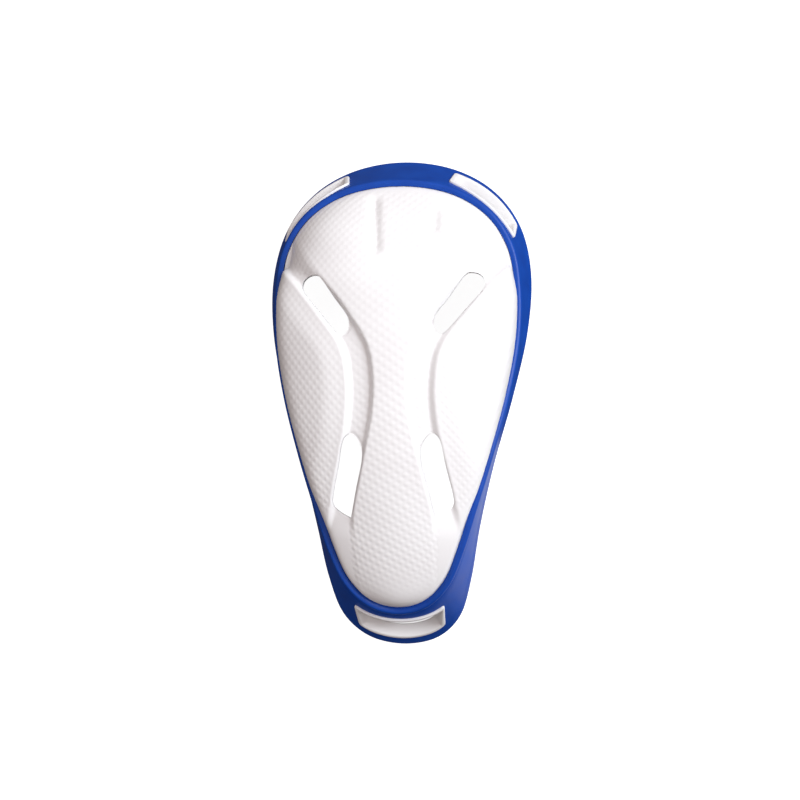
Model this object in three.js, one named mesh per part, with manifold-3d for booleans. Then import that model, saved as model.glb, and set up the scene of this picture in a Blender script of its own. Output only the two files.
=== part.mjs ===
// Abdominal guard: a moulded plastic cup with a soft rubber edge.
// The guard lies on its edge, dome up. X is across, +Y runs to the wide waist end, Z is up.
// Lengths are in millimetres and angles in degrees.
import * as THREE from 'three';
import Module from 'manifold-3d';

const wasm = await Module();
wasm.setup();

// Cup wall and the flange under the rubber
const WALL = 2.2;
const FLANGE = 2.0;
const DOME_TOP = 54.8;
const DOME_TOP_Y = 5;
// How its arches curve across and along, and how much of their rise is a steep shoulder at the foot
const ACROSS_POWER = { side: 2.0, waist: 4.2 };
const ALONG_POWER = 2.1;
const SHOULDER_POWER = 24;
const SHOULDER = { side: 0.42, waistSide: 0.05, lowerEnd: 0.25, waistEnd: 0.05 };

// Relief moulded into the cup
const CHANNEL_DEPTH = { lower: 0.3, middle: 2.0, waist: 1.9 };
const CHANNEL_FLANK = { middle: 2.6, mouth: 9.2 };
const WING_SWELL = 1.2;
const WING_ROUNDING = 10;
const PLEAT_HALF = 2.4;
const PLEATS = [
  { fromX: -5.8, fromY: 51, toX: -8.0, toY: 77, depth: 1.1 },
  { fromX: 15.0, fromY: 58, toX: 15.2, toY: 71, depth: 0.8 },
];

// Vents through the cup
const UPPER_VENT = [
  { x: 26.4, y: 43.6 },
  { x: 28.0, y: 44.6 },
  { x: 31.0, y: 44.5 },
  { x: 33.0, y: 43.1 },
  { x: 33.6, y: 41.0 },
  { x: 32.7, y: 38.5 },
  { x: 26.9, y: 31.5 },
  { x: 19.6, y: 22.9 },
  { x: 17.8, y: 21.8 },
  { x: 16.4, y: 22.7 },
  { x: 15.3, y: 25.2 },
  { x: 15.4, y: 27.9 },
  { x: 16.6, y: 30.2 },
  { x: 20.2, y: 34.9 },
];
const LOWER_VENT = [
  { x: 14.4, y: -13.4 },
  { x: 11.0, y: -17.2 },
  { x: 10.4, y: -22.0 },
  { x: 12.9, y: -33.0 },
  { x: 15.0, y: -42.6 },
  { x: 17.6, y: -43.2 },
  { x: 21.6, y: -40.0 },
  { x: 22.0, y: -37.0 },
  { x: 19.4, y: -25.5 },
  { x: 16.9, y: -15.0 },
];

// Rubber edge: bead against the cup, skirt down the flange, round lip, short inner leaf
const FIT_GAP = 0.3;
const SKIRT_OUT = 1.4;
const BEAD_OUT = 2.4;
const BEAD_WIDTH = 3.0;
const LIP_RADIUS = 2.6;
const LIP_DEPTH = 0.9;
const LEAF_THICK = 1.1;
const LEAF_HEIGHT = 5.0;

// Strap slots: a frame on the flange stands through a window in the rubber
const FRAME_WALL = 1.6;
const FRAME_OUT = 2.0;
const FRAME_IN = -2.8;
const FRAME_CORNER = 2.0;
const WINDOW_GAP = 0.55;
// middle and half widths in degrees round the edge, sides as parts of the band's depth
// (right, left and lower slot)
const SLOTS = [
  { middle: 60.3, beadHalf: 15, lipHalf: 13.8, bead: 0.22, beadEnd: 0.36, lip: 0.82, steps: 9 },
  { middle: 119.7, beadHalf: 15, lipHalf: 13.8, bead: 0.22, beadEnd: 0.36, lip: 0.82, steps: 9 },
  { middle: -90, beadHalf: 24.6, lipHalf: 21.5, bead: 0.265, beadEnd: 0.385, lip: 0.82, steps: 13 },
];

// Mesh fineness
const ROWS = 40;
// Steps from the join to the wing's edge, down it, over the channel, up the panel's edge, to the spine
const OUTER_STEPS = [6, 1, 3, 1, 6];
const INNER_STEPS = [3, 1, 1, 1, 3];
const LEAST_TURN = 1.5;
// The inner face starts a little way in from the join, clear of the flange
const INNER_FIRST_TURN = 8;

// Half outline of the guard, every 15 degrees from the lower tip round to the waist end:
// the outer edge of the rubber and the line where the cup comes out of it.
const STATION_STEP = 15;
const STATIONS = [
  { edgeX: 0.0, edgeY: -95.0, edgeZ: 0.0, joinX: 0.0, joinY: -77.8, joinZ: 26.0 },
  { edgeX: 13.5, edgeY: -91.8, edgeZ: 2.6, joinX: 9.8, joinY: -75.0, joinZ: 28.5 },
  { edgeX: 22.7, edgeY: -82.3, edgeZ: 9.5, joinX: 17.5, joinY: -67.0, joinZ: 32.8 },
  { edgeX: 27.2, edgeY: -67.2, edgeZ: 17.5, joinX: 22.8, joinY: -54.5, joinZ: 36.5 },
  { edgeX: 30.7, edgeY: -47.5, edgeZ: 23.4, joinX: 28.0, joinY: -38.3, joinZ: 37.8 },
  { edgeX: 36.0, edgeY: -24.6, edgeZ: 25.0, joinX: 34.0, joinY: -19.4, joinZ: 37.0 },
  { edgeX: 43.0, edgeY: 0.0, edgeZ: 22.2, joinX: 39.6, joinY: 0.9, joinZ: 34.0 },
  { edgeX: 48.7, edgeY: 24.6, edgeZ: 16.3, joinX: 43.3, joinY: 21.1, joinZ: 30.2 },
  { edgeX: 50.4, edgeY: 47.5, edgeZ: 8.8, joinX: 43.9, joinY: 39.9, joinZ: 27.8 },
  { edgeX: 46.5, edgeY: 67.5, edgeZ: 2.5, joinX: 41.4, joinY: 55.9, joinZ: 27.0 },
  { edgeX: 36.1, edgeY: 82.5, edgeZ: 0.0, joinX: 33.2, joinY: 68.7, joinZ: 27.0 },
  { edgeX: 19.9, edgeY: 91.8, edgeZ: 0.0, joinX: 19.0, joinY: 77.2, joinZ: 27.0 },
  { edgeX: 0.0, edgeY: 95.0, edgeZ: 0.0, joinX: 0.0, joinY: 80.1, joinZ: 27.0 },
];
const LOWER_END = STATIONS[0];
const WAIST_END = STATIONS[STATIONS.length - 1];

// The channel between the centre panel and the wing on the right half: where each edge lies
const CHANNEL = [
  { y: -78, panel: 14.0, wing: 36.0 },
  { y: -66, panel: 14.2, wing: 31.0 },
  { y: -54, panel: 14.8, wing: 25.8 },
  { y: -42, panel: 14.8, wing: 22.6 },
  { y: -30, panel: 12.2, wing: 20.2 },
  { y: -18, panel: 9.6, wing: 17.2 },
  { y: -6, panel: 7.2, wing: 15.3 },
  { y: 6, panel: 6.7, wing: 15.1 },
  { y: 18, panel: 8.8, wing: 17.6 },
  { y: 30, panel: 16.0, wing: 26.2 },
  { y: 42, panel: 25.2, wing: 36.0 },
  { y: 54, panel: 34.4, wing: 47.0 },
  { y: 66, panel: 43.6, wing: 58.0 },
  { y: 78, panel: 52.8, wing: 69.0 },
];

const cubic = (a, b, c, d, f) => {
  const bend = 3 * (b - c) + d - a;
  const rise = 2 * a - 5 * b + 4 * c - d;
  return b + 0.5 * f * (c - a + f * (rise + f * bend));
};

const smoothstep = (low, high, value) => THREE.MathUtils.smoothstep(value, low, high);

// A column of the outline at any angle round the guard; widths are odd across the two ends
function outline(column, degrees) {
  const radians = THREE.MathUtils.degToRad(degrees);
  const half = THREE.MathUtils.radToDeg(Math.asin(Math.sin(radians)));
  const side = Math.cos(radians) < 0 ? -1 : 1;
  const across = column.endsWith('X');
  const last = STATIONS.length - 1;
  const place = (half + 90) / STATION_STEP;
  const first = Math.min(Math.floor(place), last - 1);
  const at = (index) => {
    if (index < 0) return (across ? -1 : 1) * STATIONS[-index][column];
    if (index > last) return (across ? -1 : 1) * STATIONS[2 * last - index][column];
    return STATIONS[index][column];
  };
  const value = cubic(at(first - 1), at(first), at(first + 1), at(first + 2), place - first);
  return across ? side * value : value;
}

const joinPoint = (degrees) => new THREE.Vector3(
  outline('joinX', degrees), outline('joinY', degrees), outline('joinZ', degrees));

const edgePoint = (degrees) => new THREE.Vector3(
  outline('edgeX', degrees), outline('edgeY', degrees), outline('edgeZ', degrees));

// Centre of the round lip: one radius in from the outer edge and one radius up
function lipCentre(degrees) {
  const edge = edgePoint(degrees);
  const along = edgePoint(degrees + 0.5).sub(edgePoint(degrees - 0.5));
  const outward = new THREE.Vector3(along.y, -along.x, 0).normalize();
  edge.addScaledVector(outward, -LIP_RADIUS);
  edge.z = Math.max(edge.z, 0) + LIP_RADIUS;
  return edge;
}

// The band that carries the rubber: down from the join along the flange face, out along its normal
function band(degrees) {
  const join = joinPoint(degrees);
  const lip = lipCentre(degrees);
  const along = lipCentre(degrees + 0.5).sub(lipCentre(degrees - 0.5))
    .add(joinPoint(degrees + 0.5)).sub(joinPoint(degrees - 0.5));
  const normal = new THREE.Vector3().crossVectors(lip.clone().sub(join), along).normalize();
  const foot = lip.addScaledVector(normal, LIP_DEPTH);
  const down = foot.clone().sub(join);
  const length = down.length();
  down.divideScalar(length);
  const point = (depth, out) => join.clone().addScaledVector(down, depth).addScaledVector(normal, out);
  return { length, point };
}

// Where an edge of the channel lies at y, and how much longer the way across it is along X
function channelEdge(edge, y) {
  const step = CHANNEL[1].y - CHANNEL[0].y;
  const at = (where) => {
    const place = THREE.MathUtils.clamp((where - CHANNEL[0].y) / step, 1, CHANNEL.length - 2.001);
    const first = Math.floor(place);
    const x = CHANNEL.slice(first - 1, first + 3).map((row) => row[edge]);
    return cubic(x[0], x[1], x[2], x[3], place - first);
  };
  return { x: at(y), stretch: Math.hypot(1, (at(y + 1) - at(y - 1)) / 2) };
}

// Reach of the slope to each side of a channel edge; at the mouth the panel's slope runs out farther
function channelFlank(y) {
  const half = CHANNEL_FLANK.middle / 2;
  const foot = half + (CHANNEL_FLANK.mouth - CHANNEL_FLANK.middle) * smoothstep(36, 52, y);
  return { half, foot };
}

// Height of the relief over the plain dome: channels down, wings up
function relief(x, y, fromJoin) {
  const panel = channelEdge('panel', y);
  const wing = channelEdge('wing', y);
  const pastPanel = (Math.abs(x) - panel.x) / panel.stretch;
  const ontoWing = (Math.abs(x) - wing.x) / wing.stretch;
  const { half, foot } = channelFlank(y);
  const down = smoothstep(-half, foot, pastPanel) * (1 - smoothstep(-half, half, ontoWing));
  const { lower, middle, waist } = CHANNEL_DEPTH;
  const depth = lower + (middle - lower) * smoothstep(-52, -36, y)
    + (waist - middle) * smoothstep(22, 48, y);
  const swell = WING_SWELL * smoothstep(0, WING_ROUNDING, ontoWing) * smoothstep(1, 6, fromJoin);
  return swell - depth * down * smoothstep(0, 2, fromJoin);
}

// Rise of an arch at a part of its half width: a low curve, with a steep shoulder at its foot
const arch = (part, power, shoulder) => (
  (1 - shoulder) * (1 - part ** power) + shoulder * Math.sqrt(1 - part ** SHOULDER_POWER));

function spineZ(y) {
  const end = y > DOME_TOP_Y ? WAIST_END : LOWER_END;
  const shoulder = y > DOME_TOP_Y ? SHOULDER.waistEnd : SHOULDER.lowerEnd;
  const reach = Math.min(Math.abs((y - DOME_TOP_Y) / (end.joinY - DOME_TOP_Y)), 1);
  return end.joinZ + (DOME_TOP - end.joinZ) * arch(reach, ALONG_POWER, shoulder);
}

// Height of the plain dome over a pair of join points, at a part of the half width between them
function domeZ(join, part) {
  const power = THREE.MathUtils.lerp(ACROSS_POWER.side, ACROSS_POWER.waist, smoothstep(30, 66, join.y));
  const shoulder = THREE.MathUtils.lerp(SHOULDER.side, SHOULDER.waistSide, smoothstep(43, 60, join.y));
  return join.z + (spineZ(join.y) - join.z) * arch(part, power, shoulder);
}

// The plain dome: an arch across the guard for each pair of join points; turn runs 0 to 180
function domePoint(degrees, turn) {
  const join = joinPoint(degrees);
  const across = Math.cos(THREE.MathUtils.degToRad(turn));
  return new THREE.Vector3(join.x * across, join.y, domeZ(join, Math.abs(across)));
}

function domeNormal(degrees, turn) {
  const row = THREE.MathUtils.clamp(degrees, -87, 87);
  const column = THREE.MathUtils.clamp(turn, 3, 177);
  const along = domePoint(row + 1, column).sub(domePoint(row - 1, column));
  const over = domePoint(row, column + 1).sub(domePoint(row, column - 1));
  return new THREE.Vector3().crossVectors(over, along).normalize().negate();
}

// The moulded face of the cup, or the face below it by the given depth
function cupPoint(degrees, turn, depth) {
  const point = domePoint(degrees, turn);
  const height = relief(point.x, point.y, Math.min(turn, 180 - turn));
  return point.addScaledVector(domeNormal(degrees, turn), height - depth);
}

class Skin {
  constructor() {
    this.points = [];
    this.faces = [];
  }

  add(point) {
    return this.points.push(point) - 1;
  }

  quad(a, b, c, d) {
    this.triangle(a, b, c);
    this.triangle(a, c, d);
  }

  triangle(a, b, c) {
    if (a !== b && b !== c && c !== a) this.faces.push(a, b, c);
  }

  strip(lower, upper, closed) {
    const count = lower.length;
    for (let k = 0; k < (closed ? count : count - 1); k += 1) {
      const next = (k + 1) % count;
      this.quad(lower[k], lower[next], upper[next], upper[k]);
    }
  }

  volume() {
    let sum = 0;
    for (let k = 0; k < this.faces.length; k += 3) {
      const [a, b, c] = this.faces.slice(k, k + 3).map((index) => this.points[index]);
      sum += a.dot(new THREE.Vector3().crossVectors(b, c)) / 6;
    }
    return sum;
  }

  solid() {
    const inward = this.volume() < 0;
    const triVerts = new Uint32Array(this.faces);
    for (let k = 0; inward && k < triVerts.length; k += 3) {
      [triVerts[k + 1], triVerts[k + 2]] = [triVerts[k + 2], triVerts[k + 1]];
    }
    const vertProperties = new Float32Array(this.points.flatMap((point) => point.toArray()));
    return new wasm.Manifold(new wasm.Mesh({ numProp: 3, vertProperties, triVerts }));
  }
}

const rowAngle = (row) => -90 + (180 * row) / ROWS;
const RING = 2 * ROWS;
const ringAngle = (station) => -90 + (360 * station) / RING;

// Turns of one row's vertices from the join to the spine, with some on each edge of the channel
function rowTurns(degrees, counts) {
  const join = joinPoint(degrees);
  const panel = channelEdge('panel', join.y);
  const wing = channelEdge('wing', join.y);
  const { half, foot } = channelFlank(join.y);
  const edges = [
    wing.x + half * wing.stretch,
    wing.x - half * wing.stretch,
    panel.x + foot * panel.stretch,
    panel.x - half * panel.stretch,
  ];
  const keys = [0];
  edges.forEach((x, index) => {
    const turn = THREE.MathUtils.radToDeg(Math.acos(Math.min(x / join.x, 1)));
    keys.push(Math.max(turn, keys[index] + LEAST_TURN * counts[index]));
  });
  keys.push(90);
  const turns = [0];
  counts.forEach((count, index) => {
    for (let k = 1; k <= count; k += 1) {
      turns.push(keys[index] + ((keys[index + 1] - keys[index]) * k) / count);
    }
  });
  return turns;
}

// One face of the cup as rows of vertices from one side of the join over to the other:
// the outer face runs left to right and the inner face right to left
function cupFace(skin, counts, depth, firstEdge, lastEdge) {
  const rows = [];
  for (let row = 0; row <= ROWS; row += 1) {
    const pole = row === 0 || row === ROWS;
    const first = depth > 0 ? INNER_FIRST_TURN : 0;
    const half = rowTurns(rowAngle(row), counts).map((turn) => first + turn * (1 - first / 90));
    const turns = half.concat(half.slice(0, -1).reverse().map((turn) => 180 - turn));
    const line = [firstEdge[row]];
    for (let column = 1; column < turns.length - 1 && !pole; column += 1) {
      const turn = depth > 0 ? turns[column] : 180 - turns[column];
      line.push(skin.add(cupPoint(rowAngle(row), turn, depth)));
    }
    line.push(lastEdge[row]);
    rows.push(pole ? new Array(turns.length).fill(firstEdge[row]) : line);
  }
  for (let row = 0; row < ROWS; row += 1) skin.strip(rows[row], rows[row + 1], false);
}

// The cup: moulded outer face, flange down inside the rubber, and inner face
function makeCup() {
  const skin = new Skin();
  const rings = { outer: [], outerEnd: [], innerEnd: [], inner: [] };
  for (let station = 0; station < RING; station += 1) {
    const { length, point } = band(ringAngle(station));
    const end = length - 2 * FIT_GAP;
    rings.outer.push(skin.add(point(0, 0)));
    rings.outerEnd.push(skin.add(point(end, 0)));
    rings.innerEnd.push(skin.add(point(end, -FLANGE)));
    rings.inner.push(skin.add(point(0, -FLANGE)));
  }
  skin.strip(rings.outerEnd, rings.outer, true);
  skin.strip(rings.innerEnd, rings.outerEnd, true);
  skin.strip(rings.inner, rings.innerEnd, true);
  const right = (ring) => ring.slice(0, ROWS + 1);
  const left = (ring) => [ring[0], ...ring.slice(ROWS).reverse()];
  cupFace(skin, OUTER_STEPS, 0, left(rings.outer), right(rings.outer));
  cupFace(skin, INNER_STEPS, WALL, right(rings.inner), left(rings.inner));
  return skin.solid();
}

// Section of the rubber edge, out over the bead and skirt, round the lip and back inside
function rubberSection(length) {
  const section = [
    { depth: 0, out: FIT_GAP },
    { depth: 0, out: 0.6 * BEAD_OUT },
    { depth: 0.17 * BEAD_WIDTH, out: 0.9 * BEAD_OUT },
    { depth: 0.43 * BEAD_WIDTH, out: BEAD_OUT },
    { depth: 0.73 * BEAD_WIDTH, out: 0.88 * BEAD_OUT },
    { depth: BEAD_WIDTH, out: SKIRT_OUT },
    { depth: length - 1.6, out: SKIRT_OUT },
  ];
  for (const degrees of [72, 40, 8, -24, -56, -90]) {
    const radians = THREE.MathUtils.degToRad(degrees);
    section.push({
      depth: length + LIP_RADIUS * Math.cos(radians),
      out: LIP_RADIUS * Math.sin(radians) - LIP_DEPTH,
    });
  }
  const inner = -FLANGE - FIT_GAP;
  section.push(
    { depth: length - LEAF_HEIGHT, out: inner - LEAF_THICK },
    { depth: length - LEAF_HEIGHT, out: inner },
    { depth: length - FIT_GAP, out: inner },
    { depth: length - FIT_GAP, out: FIT_GAP },
  );
  return section;
}

function makeRubber() {
  const skin = new Skin();
  const loops = [];
  for (let station = 0; station < RING; station += 1) {
    const { length, point } = band(ringAngle(station));
    loops.push(rubberSection(length).map(({ depth, out }) => skin.add(point(depth, out))));
  }
  loops.forEach((loop, station) => skin.strip(loop, loops[(station + 1) % RING], true));
  return skin.solid();
}

// A block laid along the band, longer on the bead's side, with its ends cut back at the corners
function bandBlock(slot, grow, corner, inner, outer) {
  const skin = new Skin();
  const beadSide = (degrees) => {
    const part = (degrees - slot.middle) / slot.beadHalf;
    return slot.bead + (slot.beadEnd - slot.bead) * part * part;
  };
  const middle = band(slot.middle);
  const next = band(slot.middle + 1);
  const step = next.point(slot.lip * next.length, 0).distanceTo(middle.point(slot.lip * middle.length, 0));
  const parts = [-1];
  const corners = corner / (slot.lipHalf * step + grow);
  for (let k = 0; k <= slot.steps; k += 1) parts.push((1 - corners) * ((2 * k) / slot.steps - 1));
  parts.push(1);
  const sides = parts.map((part, index) => {
    const cut = index === 0 || index === parts.length - 1 ? corner : 0;
    const atBead = slot.middle + part * (slot.beadHalf + grow / step);
    const atLip = slot.middle + part * (slot.lipHalf + grow / step);
    const beadBand = band(atBead);
    const lipBand = band(atLip);
    const low = beadSide(atBead) * beadBand.length - grow + cut;
    const high = slot.lip * lipBand.length + grow - cut;
    return [
      skin.add(beadBand.point(low, inner)),
      skin.add(lipBand.point(high, inner)),
      skin.add(lipBand.point(high, outer)),
      skin.add(beadBand.point(low, outer)),
    ];
  });
  for (let k = 0; k < sides.length - 1; k += 1) skin.strip(sides[k], sides[k + 1], true);
  skin.quad(...sides[0].slice().reverse());
  skin.quad(...sides[sides.length - 1]);
  return skin.solid();
}

function fromGeometry(geometry) {
  const skin = new Skin();
  const position = geometry.getAttribute('position');
  const seen = new Map();
  for (let k = 0; k < position.count; k += 1) {
    const point = new THREE.Vector3().fromBufferAttribute(position, k);
    const key = point.toArray().map((value) => value.toFixed(4)).join();
    if (!seen.has(key)) seen.set(key, skin.add(point));
    skin.faces.push(seen.get(key));
  }
  return skin.solid();
}

// A straight-pull opening through the dome
function ventCutter(outlinePoints, side) {
  const shape = new THREE.Shape(outlinePoints.map(({ x, y }) => new THREE.Vector2(side * x, y)));
  const cutter = new THREE.ExtrudeGeometry(shape, { depth: 50, bevelEnabled: false });
  cutter.translate(0, 0, 25);
  return fromGeometry(cutter.index ? cutter.toNonIndexed() : cutter);
}

function ventOutline(table, count) {
  const corners = table.map(({ x, y }) => new THREE.Vector3(x, y, 0));
  const curve = new THREE.CatmullRomCurve3(corners, true, 'centripetal');
  return curve.getPoints(count).slice(0, -1);
}

// A short pleat pressed into the waist end of the centre panel
function pleatCutter({ fromX, fromY, toX, toY, depth }) {
  const skin = new Skin();
  const sections = [];
  const steps = 6;
  for (let k = 0; k <= steps; k += 1) {
    const x = fromX + ((toX - fromX) * k) / steps;
    const y = fromY + ((toY - fromY) * k) / steps;
    const half = k === 0 || k === steps ? 0.5 * PLEAT_HALF : PLEAT_HALF;
    const faceZ = surfaceZ(x, y);
    sections.push([
      skin.add(new THREE.Vector3(x, y, faceZ - depth)),
      skin.add(new THREE.Vector3(x + half, y, faceZ + 0.4)),
      skin.add(new THREE.Vector3(x + half, y, faceZ + 4)),
      skin.add(new THREE.Vector3(x - half, y, faceZ + 4)),
      skin.add(new THREE.Vector3(x - half, y, faceZ + 0.4)),
    ]);
  }
  for (let k = 0; k < steps; k += 1) skin.strip(sections[k], sections[k + 1], true);
  const cap = (loop) => [1, 2, 3].forEach((k) => skin.triangle(loop[0], loop[k], loop[k + 1]));
  cap(sections[0].slice().reverse());
  cap(sections[steps]);
  return skin.solid();
}

// Height of the plain dome over a point of the plan
function surfaceZ(x, y) {
  let low = -90;
  let high = 90;
  for (let k = 0; k < 40; k += 1) {
    const middle = (low + high) / 2;
    if (outline('joinY', middle) < y) low = middle;
    else high = middle;
  }
  const join = joinPoint(low);
  return domeZ(join, Math.min(Math.abs(x / join.x), 1));
}

function toMesh(solid, name, material) {
  const { numProp, vertProperties, triVerts } = solid.getMesh();
  const positions = new Float32Array((vertProperties.length / numProp) * 3);
  for (let k = 0; k < positions.length / 3; k += 1) {
    positions.set(vertProperties.subarray(k * numProp, k * numProp + 3), k * 3);
  }
  const geometry = new THREE.BufferGeometry();
  geometry.setAttribute('position', new THREE.BufferAttribute(positions, 3));
  geometry.setIndex(new THREE.BufferAttribute(new Uint32Array(triVerts), 1));
  geometry.computeVertexNormals();
  const mesh = new THREE.Mesh(geometry, material);
  mesh.name = name;
  return mesh;
}

let cup = makeCup();
let rubber = makeRubber();
for (const slot of SLOTS) {
  cup = cup.add(bandBlock(slot, 0, FRAME_CORNER, FRAME_IN, FRAME_OUT));
}
for (const slot of SLOTS) {
  cup = cup.subtract(bandBlock(slot, -FRAME_WALL, 0.6 * FRAME_CORNER, -8, 8));
  rubber = rubber.subtract(bandBlock(slot, WINDOW_GAP, FRAME_CORNER, -8, 8));
}
for (const side of [1, -1]) {
  cup = cup.subtract(ventCutter(ventOutline(UPPER_VENT, 22), side));
  cup = cup.subtract(ventCutter(ventOutline(LOWER_VENT, 17), side));
}
for (const pleat of PLEATS) cup = cup.subtract(pleatCutter(pleat));

const whitePlastic = new THREE.MeshStandardMaterial({ color: '#f1eeec', roughness: 0.42, metalness: 0 });
const blueRubber = new THREE.MeshStandardMaterial({ color: '#1b47b0', roughness: 0.55, metalness: 0 });

const guard = new THREE.Group();
guard.name = 'abdominal_guard';
guard.add(toMesh(cup, 'cup_shell', whitePlastic));
guard.add(toMesh(rubber, 'edge_rim', blueRubber));

export default guard;
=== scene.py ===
# Abdominal guard: a moulded plastic cup with a soft rubber edge, lying dome up on that edge.
# X is across the guard, +Y runs to the wide waist end and Z is up. Shapes are worked out in
# millimetres and set in metres.
import math

import bpy
import numpy as np
from mathutils import Matrix, Vector


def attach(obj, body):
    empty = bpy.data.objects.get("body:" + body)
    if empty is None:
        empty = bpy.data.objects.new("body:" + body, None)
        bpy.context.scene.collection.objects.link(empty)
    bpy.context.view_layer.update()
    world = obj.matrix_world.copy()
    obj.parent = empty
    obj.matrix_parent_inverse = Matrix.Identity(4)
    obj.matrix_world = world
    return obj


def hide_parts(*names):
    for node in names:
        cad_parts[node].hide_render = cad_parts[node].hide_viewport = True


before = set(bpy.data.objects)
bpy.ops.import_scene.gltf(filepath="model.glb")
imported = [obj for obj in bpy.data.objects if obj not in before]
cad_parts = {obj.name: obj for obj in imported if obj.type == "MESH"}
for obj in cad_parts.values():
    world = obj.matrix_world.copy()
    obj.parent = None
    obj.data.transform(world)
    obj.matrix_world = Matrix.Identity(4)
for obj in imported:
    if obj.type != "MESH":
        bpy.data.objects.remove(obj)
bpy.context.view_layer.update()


# ------------------------------------------------------------------------------------------------
# The cup. One injection moulding in white polypropylene, about 2.2 mm thick: an hourglass centre
# panel, a swollen wing on each side, a channel between them, and a flange that runs down inside
# the rubber edge all round. The rubber is moulded over the flange and grips it there.

CUP_WALL = 2.2
FLANGE_THICK = 2.0
FLANGE_SHORT_OF_LIP, FLANGE_EDGE = 0.6, 0.4      # it ends short of the lip, with its corners taken off
DOME_TOP_Z, DOME_TOP_Y = 54.8, 5.0
# How the dome's arches curve across and along, and how much of their rise is a steep shoulder
ACROSS_POWER, WAIST_ACROSS_POWER, ALONG_POWER, SHOULDER_POWER = 2.0, 4.2, 2.1, 32
SHOULDER_SIDE, SHOULDER_WAIST_SIDE, SHOULDER_LOWER_END, SHOULDER_WAIST_END = 0.42, 0.05, 0.25, 0.05
# Where along the guard the arches across turn flatter, and where their shoulders soften
FLATTER_Y, SOFTER_SHOULDER_Y = (30, 66), (43, 60)
LIP_RADIUS, LIP_DEPTH = 2.6, 0.9

# Half outline, every 15 degrees from the lower tip round the right side to the waist end: the
# rubber's outer edge, and the join where the cup comes out of the rubber
OUTLINE_STEP = 15
OUTLINE = np.array([
    # edge x, y, z           join x, y, z
    (0.0, -95.0, 0.0,        0.0, -77.8, 26.0),
    (13.5, -91.8, 2.6,       9.8, -75.0, 28.5),
    (22.7, -82.3, 9.5,       17.5, -67.0, 32.8),
    (27.2, -67.2, 17.5,      22.8, -54.5, 36.5),
    (30.7, -47.5, 23.4,      28.0, -38.3, 37.8),
    (36.0, -24.6, 25.0,      34.0, -19.4, 37.0),
    (43.0, 0.0, 22.2,        39.6, 0.9, 34.0),
    (48.7, 24.6, 16.3,       43.3, 21.1, 30.2),
    (50.4, 47.5, 8.8,        43.9, 39.9, 27.8),
    (46.5, 67.5, 2.5,        41.4, 55.9, 27.0),
    (36.1, 82.5, 0.0,        33.2, 68.7, 27.0),
    (19.9, 91.8, 0.0,        19.0, 77.2, 27.0),
    (0.0, 95.0, 0.0,         0.0, 80.1, 27.0),
])
ACROSS_THE_ENDS = np.array([-1, 1, 1, -1, 1, 1])
OUTLINE_ROUND = np.vstack([OUTLINE[1] * ACROSS_THE_ENDS, OUTLINE, OUTLINE[-2] * ACROSS_THE_ENDS])


def through(table, place):
    """A smooth curve through a table's rows: place 1 is the second row."""
    first = np.clip(place.astype(int), 1, len(table) - 3)
    f = place - first
    f = f.reshape(f.shape + (1,) * (table.ndim - 1))
    a, b, c, d = (table[first + k] for k in (-1, 0, 1, 2))
    return b + 0.5 * f * (c - a + f * (2 * a - 5 * b + 4 * c - d + f * (3 * (b - c) + d - a)))


def outline(degrees):
    """Edge and join points at any angle round the guard: -90 is the lower tip, 0 the right side."""
    around = np.radians(degrees)
    half = np.degrees(np.arcsin(np.sin(around)))
    points = through(OUTLINE_ROUND, (half + 90) / OUTLINE_STEP + 1)
    points[..., [0, 3]] *= np.where(np.cos(around) < 0, -1, 1)[..., None]
    return points[..., :3], points[..., 3:]


def unit(vectors):
    return vectors / np.linalg.norm(vectors, axis=-1, keepdims=True)


def lip_centre(degrees):
    edge = outline(degrees)[0]
    along = outline(degrees + 0.5)[0] - outline(degrees - 0.5)[0]
    outward = unit(np.stack([along[..., 1], -along[..., 0], 0 * along[..., 0]], -1))
    centre = edge - LIP_RADIUS * outward
    centre[..., 2] = np.maximum(edge[..., 2], 0) + LIP_RADIUS
    return centre


def band(degrees):
    """The flange's outer face: its join line, the ways down it and out of it, and its depth."""
    join, lip = outline(degrees)[1], lip_centre(degrees)
    ahead, behind = degrees + 0.5, degrees - 0.5
    along = lip_centre(ahead) - lip_centre(behind) + outline(ahead)[1] - outline(behind)[1]
    out = unit(np.cross(lip - join, along))
    down = lip + LIP_DEPTH * out - join
    length = np.linalg.norm(down, axis=-1, keepdims=True)
    return join, down / length, out, length[..., 0]


def on_band(degrees, depth, height):
    """Points at a depth below the join and a height out of the flange's outer face."""
    join, down, out, _ = band(degrees)
    return join + down * depth[..., None] + out * height[..., None]


def ease(low, high, value):
    part = np.clip((value - low) / (high - low), 0, 1)
    return part * part * (3 - 2 * part)


def arch(part, power, shoulder):
    """Rise of an arch at a part of its half width: a low curve with a steep shoulder at its foot."""
    return (1 - shoulder) * (1 - part ** power) + shoulder * np.sqrt(1 - part ** SHOULDER_POWER)


def spine_height(y):
    above = y > DOME_TOP_Y
    end = np.where(above[..., None], OUTLINE[-1], OUTLINE[0])
    reach = np.minimum(np.abs((y - DOME_TOP_Y) / (end[..., 4] - DOME_TOP_Y)), 1)
    shoulder = np.where(above, SHOULDER_WAIST_END, SHOULDER_LOWER_END)
    return end[..., 5] + (DOME_TOP_Z - end[..., 5]) * arch(reach, ALONG_POWER, shoulder)


def dome(degrees, turn):
    """The plain dome: an arch over each pair of join points, with turn 0 right and 180 left."""
    x, y, z = np.moveaxis(outline(degrees)[1], -1, 0)
    part = np.cos(np.radians(turn))
    power = ACROSS_POWER + (WAIST_ACROSS_POWER - ACROSS_POWER) * ease(*FLATTER_Y, y)
    shoulder = SHOULDER_SIDE + (SHOULDER_WAIST_SIDE - SHOULDER_SIDE) * ease(*SOFTER_SHOULDER_Y, y)
    return np.stack([x * part, y, z + (spine_height(y) - z) * arch(np.abs(part), power, shoulder)], -1)


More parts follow.
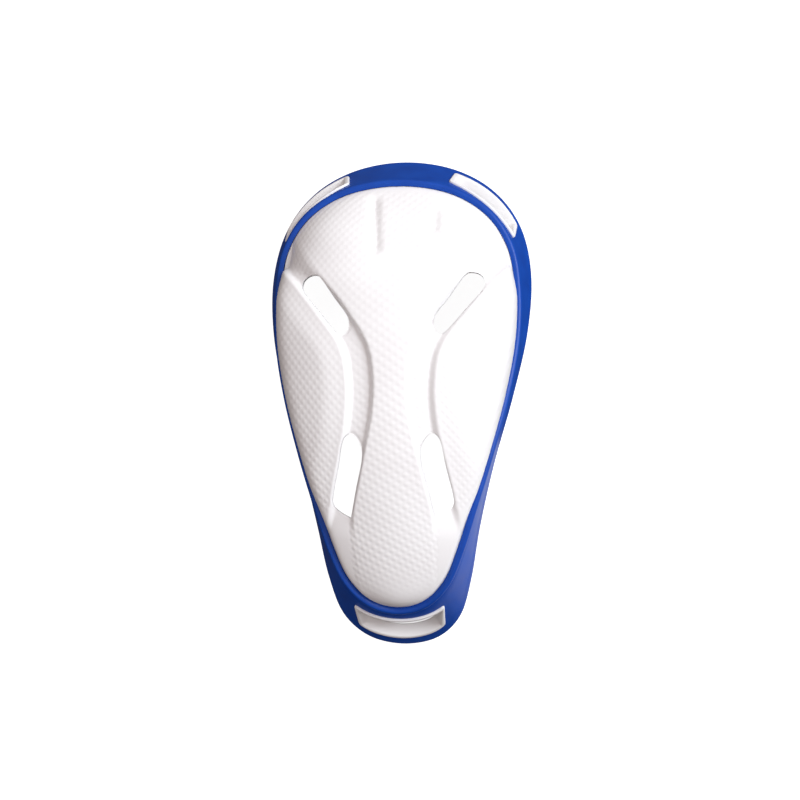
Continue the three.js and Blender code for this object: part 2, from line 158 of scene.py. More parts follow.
def dome_normal(degrees, turn):
    row, column = np.clip(degrees, -87, 87), np.clip(turn, 3, 177)
    along = dome(row + 1, column) - dome(row - 1, column)
    over = dome(row, column + 1) - dome(row, column - 1)
    return unit(np.cross(along, over))


# Relief: where the panel's edge and the wing's edge lie on the right half, row by row
CHANNEL_STEP = 12
CHANNEL_FROM_Y = -78
CHANNEL_EDGES = np.array([
    # panel, wing
    (14.0, 36.0), (14.2, 31.0), (14.8, 25.8), (14.8, 22.6), (12.2, 20.2), (9.6, 17.2), (7.2, 15.3),
    (6.7, 15.1), (8.8, 17.6), (16.0, 26.2), (25.2, 36.0), (34.4, 47.0), (43.6, 58.0),
    (52.8, 69.0),
])
CHANNEL_FLANK, CHANNEL_MOUTH_FLANK = 2.4, 9.2
CHANNEL_LOW, CHANNEL_MIDDLE, CHANNEL_WAIST = 0.15, 2.0, 1.9    # its depth from tip to waist end
CHANNEL_DEEPENS_Y, CHANNEL_WAIST_Y, CHANNEL_MOUTH_Y = (-52, -36), (22, 48), (36, 52)
WING_SWELL, WING_ROUNDING = 1.2, 10.0
# How the relief and the texture fade towards the rubber, in degrees of turn from it
SWELL_FROM_JOIN, CHANNEL_FROM_JOIN, TEXTURE_FROM_JOIN = (1, 6), (0, 2), (2, 12)
# Pleats at the waist end: where each one starts and ends in the plan, and its depth
PLEATS = ((-5.8, 51.0, -8.0, 77.0, 1.1), (15.0, 58.0, 15.2, 71.0, 0.8))
PLEAT_HALF = 2.8
PLEAT_LEAD, PLEAT_DEEP, PLEAT_TAIL = 1, 5, 4    # how it comes in at its start and runs out at its end
# Grip texture: rounded diamonds between two sets of crossing grooves, with so many grooves to the
# millimetre across the guard, in its middle and on its wings, and along it
GROOVES_ACROSS = ((0.215, 0.340), (0.260, 0.320))
GROOVES_ALONG = (0.307, 0.262)
GROOVES_THINNING = 0.00088     # the first set opens out towards the waist end
GROOVES_WING_FROM = (6, 22)    # distance from the spine over which the spacing changes
DIAMOND_HEIGHT, DIAMOND_WAIST_HEIGHT, DIAMOND_LOWERS_Y = 0.16, 0.11, (-20, 60)
# The channels are smooth above their lower ends, and the texture is low on the wings' ridges and
# fades towards both ends of the guard
SMOOTH_FROM_PANEL, SMOOTH_ABOVE_Y = (0, 2), (-44, -38)
RIDGE_FADE, RIDGE_HALF, RIDGE_ABOVE_Y = 0.6, 2.2, (-40, -30)
TEXTURE_FROM_TIP, TEXTURE_FROM_WAIST = (5, 28), (1, 7)
# Vents, as corners of a smooth outline on the right half
UPPER_VENT = np.array([
    (26.4, 43.6), (28.0, 44.6), (31.0, 44.5), (33.0, 43.1), (33.6, 41.0), (32.7, 38.5), (26.9, 31.5),
    (19.6, 22.9), (17.8, 21.8), (16.4, 22.7), (15.3, 25.2), (15.4, 27.9), (16.6, 30.2), (20.2, 34.9),
])
LOWER_VENT = np.array([
    (14.4, -13.4), (11.0, -17.2), (10.4, -22.0), (12.9, -33.0), (14.9, -42.2), (15.3, -43.6),
    (16.6, -43.2), (20.8, -40.5), (21.9, -38.4), (21.8, -36.2), (19.4, -25.5), (16.9, -15.0),
])
VENT_ROUNDING, VENT_PLAIN, VENT_BORDER = 0.6, 0.4, 1.6    # a rounded edge in a border without texture
VENT_CUT_Z = (25, 75)


def vent_outline(corners, steps=12):
    """A closed curve through the corners that takes each stretch at the pace of its length."""
    points = []
    for k in range(len(corners)):
        p = [corners[(k + j - 1) % len(corners)] for j in range(4)]
        t = np.cumsum([0] + [math.sqrt(math.dist(p[j], p[j + 1])) for j in range(3)])
        for at in np.linspace(t[1], t[2], steps, endpoint=False):
            q = [p[j] + (p[j + 1] - p[j]) * (at - t[j]) / (t[j + 1] - t[j]) for j in range(3)]
            r = [q[j] + (q[j + 1] - q[j]) * (at - t[j]) / (t[j + 2] - t[j]) for j in range(2)]
            points.append(r[0] + (r[1] - r[0]) * (at - t[1]) / (t[2] - t[1]))
    return np.array(points)


vents = [vent_outline(UPPER_VENT), vent_outline(LOWER_VENT)]


def distance_to(loop, points):
    """Distance from each point of the plan to a closed outline."""
    best = np.full(len(points), np.inf)
    for a, b in zip(loop, np.roll(loop, -1, axis=0)):
        side = b - a
        part = np.clip((points - a) @ side / (side @ side), 0, 1)
        best = np.minimum(best, np.linalg.norm(points - a - part[:, None] * side, axis=1))
    return best


def channel_edges(y):
    def at(where):
        place = (where - CHANNEL_FROM_Y) / CHANNEL_STEP
        return through(CHANNEL_EDGES, np.clip(place, 1, len(CHANNEL_EDGES) - 2.001))
    return at(y), np.hypot(1, (at(y + 1) - at(y - 1)) / 2)


def relief(x, y, from_join):
    """Height of the moulded relief over the plain dome, and how far outside each edge it is."""
    edges, stretch = channel_edges(y)
    past_panel, onto_wing = np.moveaxis((np.abs(x)[..., None] - edges) / stretch, -1, 0)
    half = CHANNEL_FLANK / 2
    foot = half + (CHANNEL_MOUTH_FLANK - CHANNEL_FLANK) * ease(*CHANNEL_MOUTH_Y, y)
    down = ease(-half, foot, past_panel) * (1 - ease(-half, half, onto_wing))
    depth = (CHANNEL_LOW + (CHANNEL_MIDDLE - CHANNEL_LOW) * ease(*CHANNEL_DEEPENS_Y, y)
             + (CHANNEL_WAIST - CHANNEL_MIDDLE) * ease(*CHANNEL_WAIST_Y, y))
    swell = WING_SWELL * ease(0, WING_ROUNDING, onto_wing) * ease(*SWELL_FROM_JOIN, from_join)
    return swell - depth * down * ease(*CHANNEL_FROM_JOIN, from_join), past_panel, onto_wing


def pleats(x, y):
    fall = np.zeros_like(x)
    for from_x, from_y, to_x, to_y, depth in PLEATS:
        off = x - from_x - (to_x - from_x) * (y - from_y) / (to_y - from_y)
        start = ease(from_y - PLEAT_LEAD, from_y + PLEAT_DEEP, y)
        ends = start * (1 - ease(to_y - PLEAT_TAIL, to_y, y))
        fall = np.maximum(fall, depth * ends * np.exp(-(off / PLEAT_HALF) ** 2 * 2))
    return -fall


def grooves_crossed(distance, middle, wings):
    """Grooves between the spine and a distance to its side."""
    fine = np.linspace(0, 120, 1201)
    rate = middle + (wings - middle) * ease(*GROOVES_WING_FROM, fine)
    count = np.concatenate([[0], np.cumsum((rate[1:] + rate[:-1]) / 2 * np.diff(fine))])
    return np.sign(distance) * np.interp(np.abs(distance), fine, count)


def diamonds(across, step_along, y):
    """Rounded diamonds between crossing grooves, 0 in a groove and 1 on top."""
    height = 1.0
    for k, side in enumerate((-1, 1)):
        rate = GROOVES_ALONG[k] - (GROOVES_THINNING * y if k == 0 else 0 * y)
        along = np.cumsum(step_along * rate)[:, None]
        height = height * np.cos(math.pi * (along + side * grooves_crossed(across, *GROOVES_ACROSS[k])))
    return np.abs(height) ** 1.5


def vent_distance(x, y):
    """Distance to the nearest edge of a vent, as far as its plain border reaches."""
    plan = np.stack([np.abs(x), y], -1).reshape(-1, 2)
    distance = np.full(len(plan), VENT_BORDER)
    for loop in vents:
        low, high = loop.min(0) - VENT_BORDER, loop.max(0) + VENT_BORDER
        near = np.flatnonzero(((plan > low) & (plan < high)).all(1))
        distance[near] = np.minimum(distance[near], distance_to(loop, plan[near]))
    return distance.reshape(x.shape)


ROWS, COLUMNS = 392, 200
INNER_EVERY, INNER_COLUMNS = 2, 48


def even_turns(count):
    """Turns that step evenly along the arch of a middle row."""
    fine = np.linspace(0, 180, 4001)
    arch = dome(np.zeros_like(fine), fine)
    run = np.concatenate([[0], np.cumsum(np.linalg.norm(np.diff(arch, axis=0), axis=1))])
    return np.interp(np.linspace(0, run[-1], count + 1), run, fine)


def even_angles(count):
    """Angles whose rows step evenly along the spine, from the lower tip to the waist end."""
    fine = np.linspace(-90, 90, 8001)
    spine = dome(fine, np.full_like(fine, 90.0))
    run = np.concatenate([[0], np.cumsum(np.linalg.norm(np.diff(spine, axis=0), axis=1))])
    return np.interp(np.linspace(0, run[-1], count + 1), run, fine)


row_angles = even_angles(ROWS)


def cup_face(angles, turns, textured):
    """Points of the outer face, or of the face one wall below it."""
    degrees, turn = np.meshgrid(angles, turns, indexing="ij")
    plain = dome(degrees, turn)
    x, y = plain[..., 0], plain[..., 1]
    from_join = np.minimum(turn, 180 - turn)
    height, past_panel, onto_wing = relief(x, y, from_join)
    if not textured:
        return plain + dome_normal(degrees, turn) * (height - CUP_WALL)[..., None]
    height = height + pleats(x, y) * ease(*SWELL_FROM_JOIN, from_join)
    step = np.linalg.norm(np.diff(plain, axis=1), axis=-1)
    across = np.concatenate([np.zeros((len(step), 1)), np.cumsum(step, axis=1)], axis=1)
    spine = len(turns) // 2
    across = across - across[:, spine:spine + 1]
    step = np.concatenate([[0], np.linalg.norm(np.diff(plain[:, spine], axis=0), axis=1)])
    along = np.cumsum(step)[:, None]
    smooth_zone = ease(*SMOOTH_FROM_PANEL, past_panel) * (1 - ease(*SMOOTH_ABOVE_Y, y))
    ridge = 1 - RIDGE_FADE * np.exp(-(onto_wing / RIDGE_HALF) ** 2) * ease(*RIDGE_ABOVE_Y, y)
    rim = (ease(*TEXTURE_FROM_JOIN, from_join) * ease(*TEXTURE_FROM_TIP, along)
           * ease(*TEXTURE_FROM_WAIST, along[-1] - along))
    bumps = diamonds(across, step, y[:, spine]) - 0.5
    lower = (DIAMOND_WAIST_HEIGHT - DIAMOND_HEIGHT) * ease(*DIAMOND_LOWERS_Y, y)
    bumps = bumps * (DIAMOND_HEIGHT + lower)
    from_vent = vent_distance(x, y)
    height = height + bumps * (1 - smooth_zone) * ridge * rim * ease(VENT_PLAIN, VENT_BORDER, from_vent)
    over_edge = VENT_ROUNDING - np.minimum(from_vent, VENT_ROUNDING)
    height = height - VENT_ROUNDING + np.sqrt(VENT_ROUNDING ** 2 - over_edge ** 2)
    return plain + dome_normal(degrees, turn) * height[..., None]


def mesh_piece(name, points, faces):
    """A mesh object from points in millimetres, with its faces turned outwards."""
    mesh = bpy.data.meshes.new(name)
    mesh.from_pydata((np.asarray(points) * 0.001).tolist(), [], faces)
    mesh.validate()
    mesh.update()
    made = bpy.data.objects.new(name, mesh)
    bpy.context.scene.collection.objects.link(made)
    tops = np.empty(len(mesh.vertices) * 3)
    mesh.vertices.foreach_get("co", tops)
    mesh.calc_loop_triangles()
    corners = np.empty(len(mesh.loop_triangles) * 3, dtype=np.int32)
    mesh.loop_triangles.foreach_get("vertices", corners)
    a, b, c = tops.reshape(-1, 3)[corners.reshape(-1, 3)].transpose(1, 0, 2)
    if (a * np.cross(b, c)).sum() < 0:
        mesh.flip_normals()
    return made


def strip(lower, upper, closed=False):
    """Four-sided faces between two rows of the same number of points."""
    ahead = (np.roll(lower, -1), np.roll(upper, -1))
    faces = np.stack([lower, ahead[0], ahead[1], upper], -1)
    return faces if closed else faces[:-1]


def combine(piece, other, way):
    """Joins another solid to a piece, or cuts it out of it, and takes the other away."""
    change = piece.modifiers.new("combine", "BOOLEAN")
    change.operation, change.object, change.solver = way, other, "MANIFOLD"
    bpy.context.view_layer.update()
    done = piece.evaluated_get(bpy.context.evaluated_depsgraph_get())
    mesh = bpy.data.meshes.new_from_object(done)
    piece.modifiers.clear()
    old, piece.data = piece.data, mesh
    bpy.data.meshes.remove(old)
    bpy.data.meshes.remove(other.data)


def grid_faces(ring, inside, turned):
    """Faces of a grid whose sides are a ring that runs up on the right and down on the left."""
    last = len(ring) // 2
    rows = np.concatenate([ring[1:last, None], inside, ring[:last:-1, None]], axis=1)
    rows = rows[:, ::-1] if turned else rows
    faces = [face for first, second in zip(rows, rows[1:]) for face in strip(second, first).tolist()]
    for tip, row in ((ring[0], rows[0]), (ring[last], rows[-1][::-1])):
        faces += [[int(tip), int(a), int(b)] for a, b in zip(row, row[1:])]
    return faces


def make_cup():
    """The outer face and the flange's outside are fine, and the inside takes every second row."""
    points, faces = [], []

    def add(rows):
        start = sum(len(p) for p in points)
        points.append(rows.reshape(-1, 3))
        return np.arange(start, start + rows.size // 3).reshape(rows.shape[:-1])

    def add_ring(angles, part, short, height):
        depth = part * (band(angles)[3] - FLANGE_SHORT_OF_LIP) - short
        return add(on_band(angles, depth, np.full_like(depth, height)))

    fine = np.concatenate([row_angles, 180 - row_angles[-2:0:-1]])
    coarse = fine[::INNER_EVERY]
    outside = [add_ring(fine, *at) for at in ((0, 0, 0), (0.5, 0, 0), (1, FLANGE_EDGE, 0),
                                              (1, 0, -FLANGE_EDGE))]
    inside = [add_ring(coarse, *at) for at in ((1, 0, FLANGE_EDGE - FLANGE_THICK),
                                               (1, FLANGE_EDGE, -FLANGE_THICK),
                                               (0.5, 0, -FLANGE_THICK), (0, 0, -FLANGE_THICK))]
    for rings in (outside, inside):
        for upper, lower in zip(rings, rings[1:]):
            faces.extend(strip(lower, upper, closed=True).tolist())
    below, above = inside[0], np.append(outside[-1], outside[-1][0])
    for k in range(len(below)):
        edge = above[k * INNER_EVERY:(k + 1) * INNER_EVERY + 1]
        faces.append([int(below[k]), int(below[(k + 1) % len(below)])] + edge[::-1].tolist())
    outer = add(cup_face(row_angles, even_turns(COLUMNS), True)[1:-1, 1:-1])
    inner = add(cup_face(row_angles[::INNER_EVERY], even_turns(INNER_COLUMNS), False)[1:-1, 1:-1])
    faces += grid_faces(outside[0], outer, False) + grid_faces(inside[-1], inner, True)
    return mesh_piece("moulded_cup", np.concatenate(points), faces)


def prism(name, loop, low, high):
    """A straight block over an outline of the plan."""
    count = len(loop)
    points = np.concatenate([np.column_stack([loop, np.full(count, z)]) for z in (low, high)])
    faces = strip(np.arange(count), np.arange(count) + count, closed=True).tolist()
    faces += [list(range(count))[::-1], list(range(count, 2 * count))]
    return mesh_piece(name, points, faces)


cup = make_cup()
for side in (1, -1):
    for loop in vents:
        combine(cup, prism("vent", loop * (side, 1), *VENT_CUT_Z), "DIFFERENCE")


# ------------------------------------------------------------------------------------------------
# The strap slots. Each is a framed opening moulded on the cup's flange, in the same white plastic.
# The frame stands through a window in the rubber, a little proud of it, and takes the pull of the
# elastic: two slots at the waist end and a longer one at the lower tip, bent with the edge.

FRAME_TOP, FRAME_FOOT = 2.2, -2.8
FRAME_TOP_WALL, FRAME_FOOT_WALL = 1.7, 3.4       # the hole is drafted, so the wall is thicker inside
FRAME_CORNER, FRAME_ROUNDING = 1.6, 0.6
SLOT_CUT_INSET, CUT_REACH = 0.6, 8.0      # the cut runs under the frame, and well past both faces
STRAP_SLOTS = (
    # middle, half width at the bead's side and at the lip's side, in degrees round the edge; then,
    # as parts of the band's depth, the bead's side at its middle and ends, and the lip's side
    (60.3, 15.0, 13.8, 0.22, 0.36, 0.82),
    (119.7, 15.0, 13.8, 0.22, 0.36, 0.82),
    (-90.0, 24.6, 21.5, 0.265, 0.385, 0.82),
)


def rounded(corners, radius, steps):
    """A closed outline with its corners rounded."""
    loop = []
    for k, corner in enumerate(corners):
        before, after = (unit(corners[j % len(corners)] - corner) * radius for j in (k - 1, k + 1))
        loop += [corner + (1 - t) ** 2 * before + t ** 2 * after for t in np.linspace(0, 1, steps)]
    return np.array(loop)


def slot_loop(slot, inset):
    """A rounded opening laid on the band: angles round the edge and depths below the join."""
    middle, bead_half, lip_half, bead_side, bead_ends, lip_side = slot
    angles = np.array([middle, middle + 1.0])
    length = band(angles)[3][0]
    ends = on_band(angles, np.full(2, lip_side * length), np.zeros(2))
    degree = np.linalg.norm(ends[1] - ends[0])
    size = np.array([(bead_half + lip_half) / 2 * degree, (lip_side - bead_side) * length / 2]) - inset
    corner_steps = 7
    corners = size * np.array([(1, 1), (-1, 1), (-1, -1), (1, -1)])
    bent = rounded(corners, max(FRAME_CORNER - inset, 0.4), corner_steps)
    loop = []
    for k, count in enumerate((44, 10, 44, 10)):
        loop.append(bent[k * corner_steps:(k + 1) * corner_steps])
        start, stop = loop[-1][-1], bent[(k + 1) * corner_steps % len(bent)]
        loop.append(start + (stop - start) * np.linspace(0, 1, count, endpoint=False)[1:, None])
    across, down = (np.concatenate(loop) / size).T
    part = (down + 1) / 2
    degrees = middle + across * (bead_half + (lip_half - bead_half) * part - inset / degree)
    length = band(degrees)[3]
    near = bead_side + (bead_ends - bead_side) * ((degrees - middle) / bead_half) ** 2
    low, high = near * length + inset, lip_side * length - inset
    return degrees, low + (high - low) * part


def swept_loops(name, slot, section, capped):
    """Loops round a slot, one for each inset and height of the section."""
    points, rings = [], []
    for inset, height in section:
        degrees, depth = slot_loop(slot, inset)
        rings.append(np.arange(len(degrees)) + sum(len(p) for p in points))
        points.append(on_band(degrees, depth, np.full_like(depth, height)))
    pairs = list(zip(rings, rings[1:])) + ([] if capped else [(rings[-1], rings[0])])
    faces = [face for a, b in pairs for face in strip(a, b, closed=True).tolist()]
    if capped:
        for ring, loop in ((rings[0], points[0]), (rings[-1], points[-1])):
            points.append(loop.mean(0, keepdims=True))
            hub = sum(len(p) for p in points) - 1
            turned = ring[::-1] if ring is rings[0] else ring
            faces += [[int(a), int(b), hub] for a, b in zip(turned, np.roll(turned, -1))]
    return mesh_piece(name, np.concatenate(points), faces)


frame_section = rounded(np.array([(0, FRAME_TOP), (FRAME_TOP_WALL, FRAME_TOP),
                                  (FRAME_FOOT_WALL, FRAME_FOOT), (0, FRAME_FOOT)]), FRAME_ROUNDING, 5)
slot_cut = ((SLOT_CUT_INSET, -CUT_REACH), (SLOT_CUT_INSET, CUT_REACH))
for slot in STRAP_SLOTS:
    combine(cup, swept_loops("slot_hole", slot, slot_cut, True), "DIFFERENCE")
    combine(cup, swept_loops("slot_frame", slot, frame_section, False), "UNION")


def linear(colour):
    """An sRGB hex colour as linear red, green, blue and alpha."""
    parts = [int(colour[k:k + 2], 16) / 255 for k in (1, 3, 5)]
    return [p / 12.92 if p <= 0.04045 else ((p + 0.055) / 1.055) ** 2.4 for p in parts] + [1.0]


def add_node(tree, kind, inputs=None, **settings):
    """Adds a node with its settings, and its inputs set to values or linked to other nodes."""
    made = tree.nodes.new(kind)
    for name, value in settings.items():
        setattr(made, name, value)
    for name, value in (inputs or {}).items():
        if isinstance(value, bpy.types.NodeSocket):
            tree.links.new(value, made.inputs[name])
        else:
            made.inputs[name].default_value = value
    return made


# Moulded polypropylene: a white, slightly milky plastic with a satin face from a finely eroded
# mould, so highlights are broad and soft, and the white drifts a little over the part.
plastic = bpy.data.materials.new("moulded_polypropylene")
plastic.use_nodes = True
tree = plastic.node_tree
tree.nodes.clear()
place = add_node(tree, "ShaderNodeTexCoord").outputs["Object"]
drift = add_node(tree, "ShaderNodeTexNoise", {"Vector": place, "Scale": 1 / 0.030, "Detail": 2.0})
tint = add_node(tree, "ShaderNodeValToRGB", {"Fac": drift.outputs["Fac"]})
tint.color_ramp.elements[0].position, tint.color_ramp.elements[0].color = 0.35, linear("#F0EFEF")
tint.color_ramp.elements[1].position, tint.color_ramp.elements[1].color = 0.65, linear("#F6F6F6")
patch = add_node(tree, "ShaderNodeTexNoise", {"Vector": place, "Scale": 1 / 0.006, "Detail": 3.0})
satin = add_node(tree, "ShaderNodeMapRange", {"Value": patch.outputs["Fac"], "From Min": 0.3,
                                              "From Max": 0.7, "To Min": 0.40, "To Max": 0.52})
# The mould's erosion grain is about 0.1 mm; it is drawn at 0.35 mm so that it shows
grain = add_node(tree, "ShaderNodeTexNoise", {"Vector": place, "Scale": 1 / 0.00035, "Detail": 2.0})
pitted = add_node(tree, "ShaderNodeBump", {"Height": grain.outputs["Fac"], "Strength": 0.12,
                                           "Distance": 0.0001})
shader = add_node(tree, "ShaderNodeBsdfPrincipled", {
    "Base Color": tint.outputs["Color"], "Roughness": satin.outputs["Result"],
    "Normal": pitted.outputs["Normal"], "IOR": 1.49})
add_node(tree, "ShaderNodeOutputMaterial", {"Surface": shader.outputs["BSDF"]})


SHARP_OVER = 50


def dress(piece, material):
    """Gives a piece its material and smooth shading that breaks at corners over so many degrees."""
    piece.data.materials.clear()
    piece.data.materials.append(material)
    piece.data.shade_smooth()
    piece.data.set_sharp_from_angle(angle=math.radians(SHARP_OVER))


dress(cup, plastic)
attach(cup, "root")
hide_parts("cup_shell")


# ------------------------------------------------------------------------------------------------
# The rubber edge. Soft royal blue thermoplastic rubber moulded over the flange in one piece: a bead
# against the cup, a smooth skirt, a round lip that the guard rests on, and a short leaf inside.
# It has a window for each slot frame.

FIT_GAP = 0.3
BEAD_OUT, BEAD_CREST, BEAD_WIDTH, SKIRT_OUT = 2.4, 1.4, 3.2, 1.4
BEAD_TUCK, BEAD_FOOT, BEAD_SEAM = 0.3, 0.25, 1.1    # it hugs the cup, and meets the skirt in a seam
SEAM_TURN, SEAM_RISE, SEAM_WIDTH, SKIRT_SHORT = 0.35, 0.15, 0.9, 2.5
LEAF_THICK, LEAF_HEIGHT, LEAF_ROUNDING, LEAF_FOOT, LEAF_TAPER = 1.1, 5.0, 0.5, 1.5, 0.05
WINDOW_GAP = 0.15
STATIONS = 720


def rubber_section(length):
    """Depth and height of each point of the rubber's section, for one length of the band."""
    section = [(0.0, FIT_GAP)]
    for turn in np.linspace(0, math.pi / 2, 10):
        section.append((BEAD_CREST - (BEAD_CREST + BEAD_TUCK) * math.cos(turn) ** 0.8,
                        BEAD_FOOT + (BEAD_OUT - BEAD_FOOT) * math.sin(turn) ** 0.8))
    for part in np.linspace(0, 1, 10)[1:]:
        section.append((BEAD_CREST + (BEAD_WIDTH - BEAD_CREST) * part,
                        BEAD_SEAM + (BEAD_OUT - BEAD_SEAM) * math.cos(math.pi / 2 * part) ** 0.8))
    section += [(BEAD_WIDTH + SEAM_TURN, BEAD_SEAM + SEAM_RISE), (BEAD_WIDTH + SEAM_WIDTH, SKIRT_OUT)]
    skirt = length - BEAD_WIDTH - SKIRT_SHORT
    section += [(BEAD_WIDTH + SEAM_WIDTH + skirt * k / 6, SKIRT_OUT) for k in range(1, 7)]
    for turn in np.radians(np.linspace(84, -90, 19)):
        section.append((length + LIP_RADIUS * math.cos(turn), LIP_RADIUS * math.sin(turn) - LIP_DEPTH))
    inner = -FLANGE_THICK - FIT_GAP
    leaf_top = length - LEAF_HEIGHT + LEAF_ROUNDING
    section += [(length - LEAF_FOOT, inner - LEAF_THICK - LEAF_TAPER), (leaf_top, inner - LEAF_THICK)]
    for turn in np.radians(np.linspace(-90, 90, 7)[1:-1]):
        section.append((leaf_top - LEAF_ROUNDING * math.cos(turn),
                        inner - LEAF_THICK / 2 * (1 - math.sin(turn))))
    section += [(leaf_top, inner), (length - FIT_GAP, inner), (length - FIT_GAP, FIT_GAP)]
    return np.array(section)


def make_rubber():
    degrees = -90 + 360 * np.arange(STATIONS) / STATIONS
    join, down, out, lengths = band(degrees)
    sections = np.stack([rubber_section(length) for length in lengths])
    points = join[:, None] + down[:, None] * sections[..., :1] + out[:, None] * sections[..., 1:]
    numbers = np.arange(points.size // 3).reshape(points.shape[:2])
    faces = []
    for first, second in zip(numbers, np.roll(numbers, -1, axis=0)):
        faces.extend(strip(first, second, closed=True).tolist())
    return mesh_piece("rubber_edge", points.reshape(-1, 3), faces)


rubber = make_rubber()
for slot in STRAP_SLOTS:
    window_cut = ((-WINDOW_GAP, -CUT_REACH), (-WINDOW_GAP, CUT_REACH))
    combine(rubber, swept_loops("window", slot, window_cut, True), "DIFFERENCE")

# Thermoplastic rubber: a soft, dense blue with a semi-matt moulded skin. Oils bloom to its surface
# in faint cloudy patches, which shows as small changes of gloss and depth of colour.
soft_blue = bpy.data.materials.new("thermoplastic_rubber")
soft_blue.use_nodes = True
tree = soft_blue.node_tree
tree.nodes.clear()
place = add_node(tree, "ShaderNodeTexCoord").outputs["Object"]
bloom = add_node(tree, "ShaderNodeTexNoise", {"Vector": place, "Scale": 1 / 0.009, "Detail": 4.0})
depth = add_node(tree, "ShaderNodeValToRGB", {"Fac": bloom.outputs["Fac"]})
depth.color_ramp.elements[0].position, depth.color_ramp.elements[0].color = 0.3, linear("#023F9E")
depth.color_ramp.elements[1].position, depth.color_ramp.elements[1].color = 0.7, linear("#0447AA")
gloss = add_node(tree, "ShaderNodeMapRange", {"Value": bloom.outputs["Fac"], "From Min": 0.3,
                                              "From Max": 0.7, "To Min": 0.36, "To Max": 0.46})
# The moulded skin's grain is about 0.1 mm; it is drawn at 0.4 mm so that it shows
skin = add_node(tree, "ShaderNodeTexNoise", {"Vector": place, "Scale": 1 / 0.0004, "Detail": 2.0})
dimpled = add_node(tree, "ShaderNodeBump", {"Height": skin.outputs["Fac"], "Strength": 0.15,
                                            "Distance": 0.0001})
shader = add_node(tree, "ShaderNodeBsdfPrincipled", {
    "Base Color": depth.outputs["Color"], "Roughness": gloss.outputs["Result"],
    "Normal": dimpled.outputs["Normal"], "IOR": 1.51, "Specular IOR Level": 0.3,
    "Sheen Weight": 0.03, "Sheen Roughness": 0.5, "Sheen Tint": linear("#C9D9FF")})
add_node(tree, "ShaderNodeOutputMaterial", {"Surface": shader.outputs["BSDF"]})

dress(rubber, soft_blue)
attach(rubber, "root")
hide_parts("edge_rim")


# ------------------------------------------------------------------------------------------------
# The floor: a plain sheet of white opal acrylic, lit a little from below like a light table, so
# that it stays pale inside the cup, where the vents look down on it. Walls of the same sheet stand
# far off all round as a backdrop, and neither throws light or shade on the guard.

FLOOR_SIZE, BACKDROP_HEIGHT = 8.0, 4.0
floor_mesh = bpy.data.meshes.new("floor")
reach = FLOOR_SIZE / 2
corners = [(-reach, -reach), (reach, -reach), (reach, reach), (-reach, reach)]
floor_mesh.from_pydata([(x, y, z) for z in (0, BACKDROP_HEIGHT) for x, y in corners], [],
                       [(0, 1, 2, 3)] + [((k + 1) % 4, k, k + 4, (k + 1) % 4 + 4) for k in range(4)])
floor = bpy.data.objects.new("floor", floor_mesh)
bpy.context.scene.collection.objects.link(floor)
opal = bpy.data.materials.new("opal_acrylic")
opal.use_nodes = True
tree = opal.node_tree
tree.nodes.clear()
shader = add_node(tree, "ShaderNodeBsdfPrincipled", {
    "Base Color": linear("#B9B9B9"), "Roughness": 0.9, "Specular IOR Level": 0.1,
    "Emission Color": linear("#FFFFFF"), "Emission Strength": 0.93})
add_node(tree, "ShaderNodeOutputMaterial", {"Surface": shader.outputs["BSDF"]})
floor_mesh.materials.append(opal)
floor.visible_diffuse = floor.visible_glossy = floor.visible_shadow = False


# ------------------------------------------------------------------------------------------------
# The studio: one large soft light to the upper right, a weak warm fill from the room that is
# strongest overhead, a white card low on the right, and the camera almost straight above the guard.

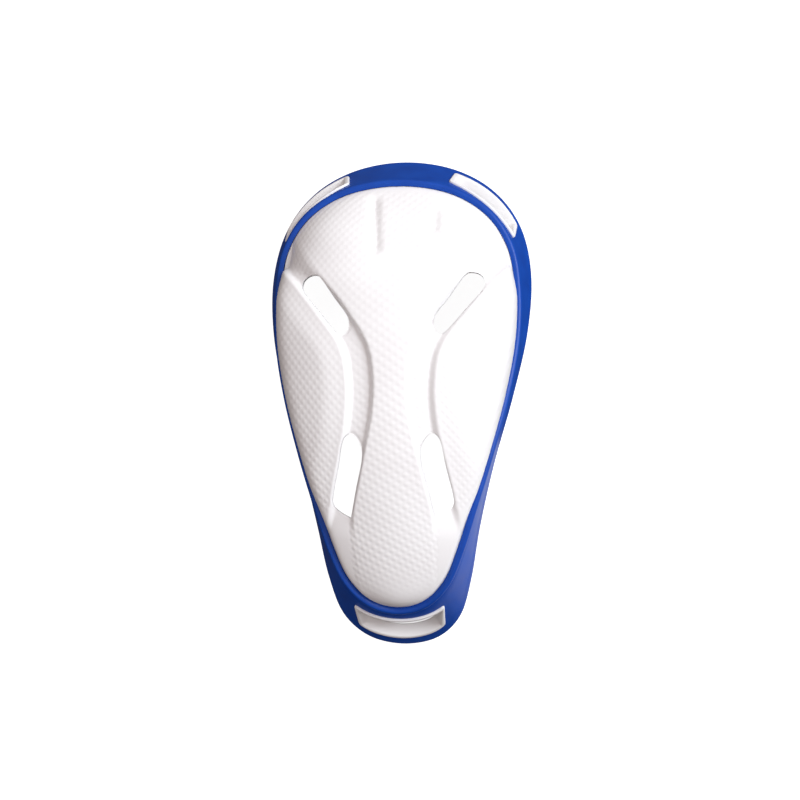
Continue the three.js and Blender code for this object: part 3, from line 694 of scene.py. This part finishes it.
room = bpy.data.worlds.new("room")
bpy.context.scene.world = room
room.use_nodes = True
room.node_tree.nodes.clear()
FILL_FROM, FILL_DARK, FILL_BRIGHT = (0.20, 0.34, 0.92), 0.05, 0.655
way = add_node(room.node_tree, "ShaderNodeTexCoord").outputs["Generated"]
towards = add_node(room.node_tree, "ShaderNodeVectorMath", {0: way, 1: FILL_FROM},
                   operation="DOT_PRODUCT")
fill = add_node(room.node_tree, "ShaderNodeMapRange", {
    "Value": towards.outputs["Value"], "From Min": -0.1, "From Max": 0.45,
    "To Min": FILL_DARK, "To Max": FILL_BRIGHT})
glow = add_node(room.node_tree, "ShaderNodeBackground", {"Color": linear("#FFF2F0"),
                                                         "Strength": fill.outputs["Result"]})
add_node(room.node_tree, "ShaderNodeOutputWorld", {"Surface": glow.outputs["Background"]})

LIGHT_AT, LIGHT_SIZE, LIGHT_POWER = Vector((0.80, 0.36, 0.80)), 0.6, 12.6
softbox = bpy.data.lights.new("softbox", "AREA")
softbox.shape, softbox.size, softbox.energy = "SQUARE", LIGHT_SIZE, LIGHT_POWER
softbox.color = linear("#F2F9FF")[:3]
softbox_at = bpy.data.objects.new("softbox", softbox)
softbox_at.location = LIGHT_AT
softbox_at.rotation_euler = (-LIGHT_AT).to_track_quat("-Z", "Y").to_euler()
bpy.context.scene.collection.objects.link(softbox_at)

# A white card on the floor at the lower right, which shows only as a sheen on the rubber's skirt
CARD_AT, CARD_WIDE, CARD_LONG, CARD_POWER = (0.13, -0.10, 0.0005), 0.18, 0.16, 0.13
card = bpy.data.lights.new("card", "AREA")
card.shape, card.size, card.size_y, card.energy = "RECTANGLE", CARD_WIDE, CARD_LONG, CARD_POWER
card_at = bpy.data.objects.new("card", card)
card_at.location, card_at.rotation_euler = CARD_AT, (math.pi, 0, 0)
card_at.visible_diffuse = card_at.visible_camera = False
bpy.context.scene.collection.objects.link(card_at)

CAMERA_AT, CAMERA_TO = Vector((0.04724, -0.0197, 0.4828)), Vector((0, -0.0002, 0.0178))
CAMERA_UP = Vector((0.004, 1, 0))
SENSOR, FOCAL_PIXELS, IMAGE_PIXELS = 36.0, 1223, 800
lens = bpy.data.cameras.new("camera")
lens.sensor_width, lens.lens = SENSOR, SENSOR * FOCAL_PIXELS / IMAGE_PIXELS
lens.clip_start, lens.clip_end = 0.01, 20
camera = bpy.data.objects.new("camera", lens)
back = (CAMERA_AT - CAMERA_TO).normalized()
right = CAMERA_UP.cross(back).normalized()
camera.matrix_world = Matrix.Translation(CAMERA_AT) @ Matrix(
    (right, back.cross(right), back)).transposed().to_4x4()
bpy.context.scene.collection.objects.link(camera)
bpy.context.scene.camera = camera
bpy.context.scene.view_settings.view_transform = "Standard"
